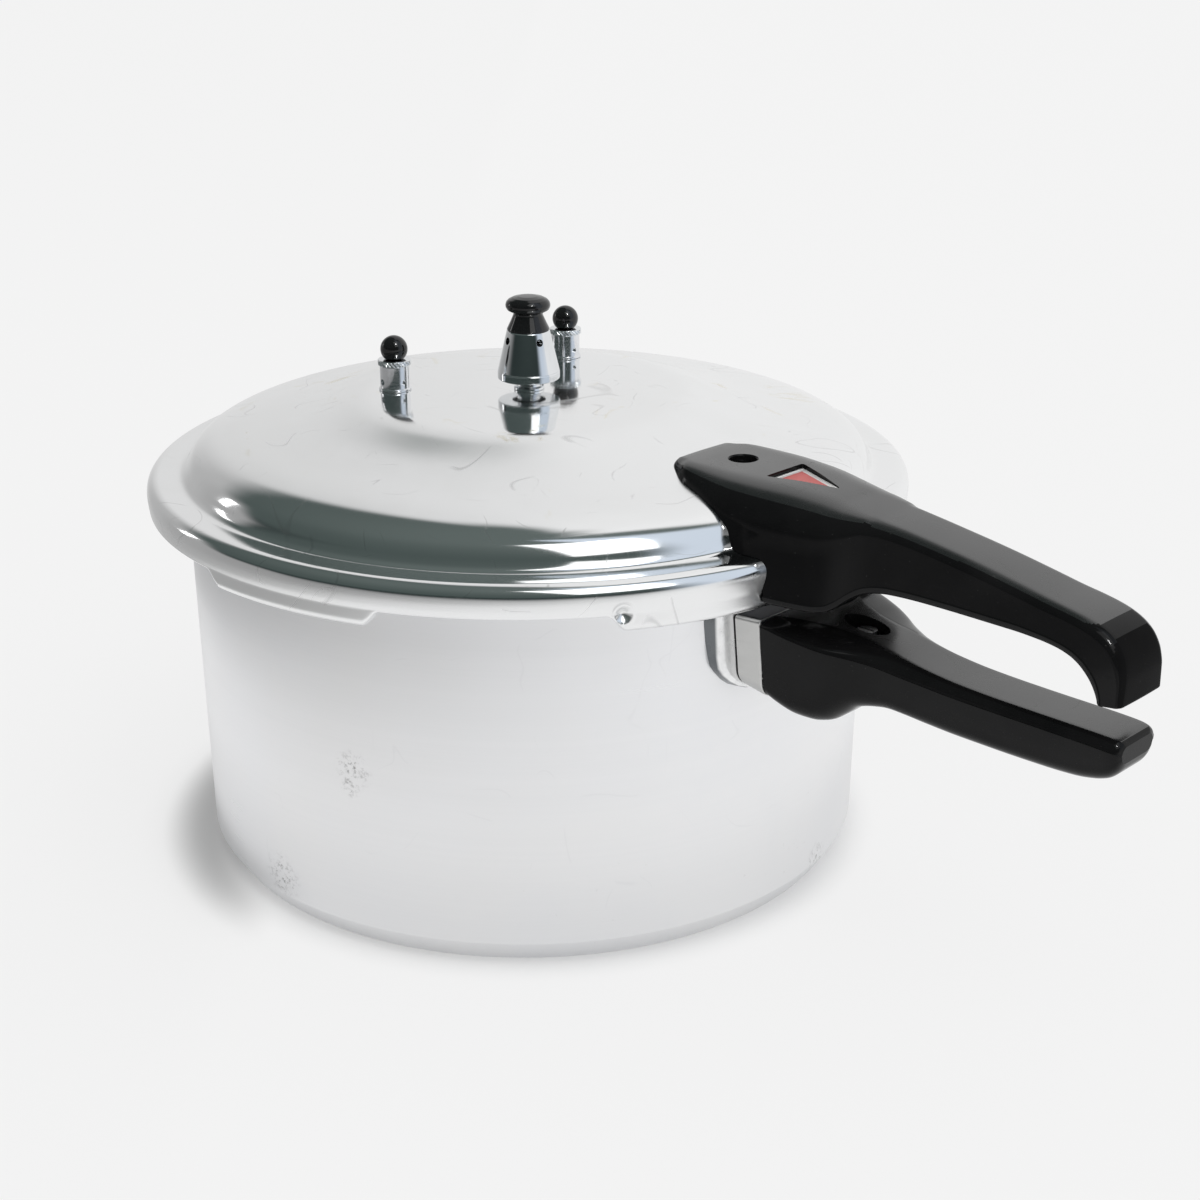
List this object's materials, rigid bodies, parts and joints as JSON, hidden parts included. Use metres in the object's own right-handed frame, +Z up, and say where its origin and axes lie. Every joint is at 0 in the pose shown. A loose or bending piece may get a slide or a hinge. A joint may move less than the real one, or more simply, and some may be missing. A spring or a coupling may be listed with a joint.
{
  "type": "stovetop pressure cooker",
  "caption": "Wide aluminium stovetop pressure cooker with a bayonet lid, long twin black handles, a lift-off centre weight and two pop-up safety valves.",
  "frame": {"origin": "centre of the pot's flat base underside", "axes": "+Z up along the pot's axis; +X along the two handles, from the pot's axis to the handle tips"},
  "size_m": [0.499, 0.3512, 0.2553],
  "materials": {
    "pot_aluminium": "satin brushed",
    "cast_aluminium": "satin cast",
    "rivet_aluminium": "satin",
    "ferrule_steel": "satin",
    "handle_black": "semi-gloss moulded phenolic",
    "screw_steel": "satin",
    "lid_aluminium": "polished",
    "gasket_rubber": "matte",
    "badge_inlay": "gloss",
    "valve_chrome": "polished",
    "knob_black": "gloss",
    "brass": "satin"
  },
  "bodies": {
    "pot": {"pot_body": "pot_aluminium", "pot_bracket": "cast_aluminium", "pot_bracket_rivets": "rivet_aluminium", "pot_ferrule": "ferrule_steel", "pot_handle": "handle_black", "pot_handle_screw": "screw_steel", "pot_handle_nut": "screw_steel"},
    "lid": {"lid_shell": "lid_aluminium", "lid_gasket": "gasket_rubber", "lid_bracket": "screw_steel", "lid_bracket_rivets": "rivet_aluminium", "lid_handle": "handle_black", "lid_handle_screws": "screw_steel", "handle_badge": "badge_inlay", "vent_pipe": "valve_chrome", "vent_pipe_washer": "gasket_rubber", "vent_pipe_nut": "screw_steel", "vent_strainer": "screw_steel", "left_valve_body": "valve_chrome", "left_valve_cap": "valve_chrome", "left_valve_spring": "screw_steel", "left_valve_washer": "gasket_rubber", "left_valve_nut": "screw_steel", "right_valve_body": "valve_chrome", "right_valve_cap": "valve_chrome", "right_valve_spring": "screw_steel", "right_valve_washer": "gasket_rubber", "right_valve_nut": "screw_steel", "float_valve_bush": "brass", "float_valve_washer": "gasket_rubber", "float_valve_nut": "screw_steel"},
    "weight": {"weight_body": "valve_chrome", "weight_knob": "knob_black", "weight_needle": "screw_steel"},
    "left_plunger": {"left_valve_plunger": "screw_steel", "left_valve_ball": "knob_black"},
    "right_plunger": {"right_valve_plunger": "screw_steel", "right_valve_ball": "knob_black"},
    "float_pin": {"float_pin": "screw_steel", "float_pin_seal": "gasket_rubber", "float_pin_clip": "screw_steel"}
  },
  "joints": [
    {"name": "lid_turn", "type": "hinge", "parent": "pot", "child": "lid", "pos_m": [0, 0, 0.17], "axis": [0, 0, 1], "range_deg": [-30, 0]},
    {"name": "weight_lift", "type": "slide", "parent": "lid", "child": "weight", "axis": [0, 0, 1], "range_m": [0, 0.03]},
    {"name": "left_valve_rise", "type": "slide", "parent": "lid", "child": "left_plunger", "axis": [0, 0, 1], "range_m": [0, 0.004], "stiffness_N_per_m": 1500, "springref_m": -0.003, "deforming": ["left_valve_spring"]},
    {"name": "right_valve_rise", "type": "slide", "parent": "lid", "child": "right_plunger", "axis": [0, 0, 1], "range_m": [0, 0.004], "stiffness_N_per_m": 1500, "springref_m": -0.003, "deforming": ["right_valve_spring"]},
    {"name": "float_pin_rise", "type": "slide", "parent": "lid", "child": "float_pin", "axis": [0, 0, 1], "range_m": [0, 0.006]}
  ]
}
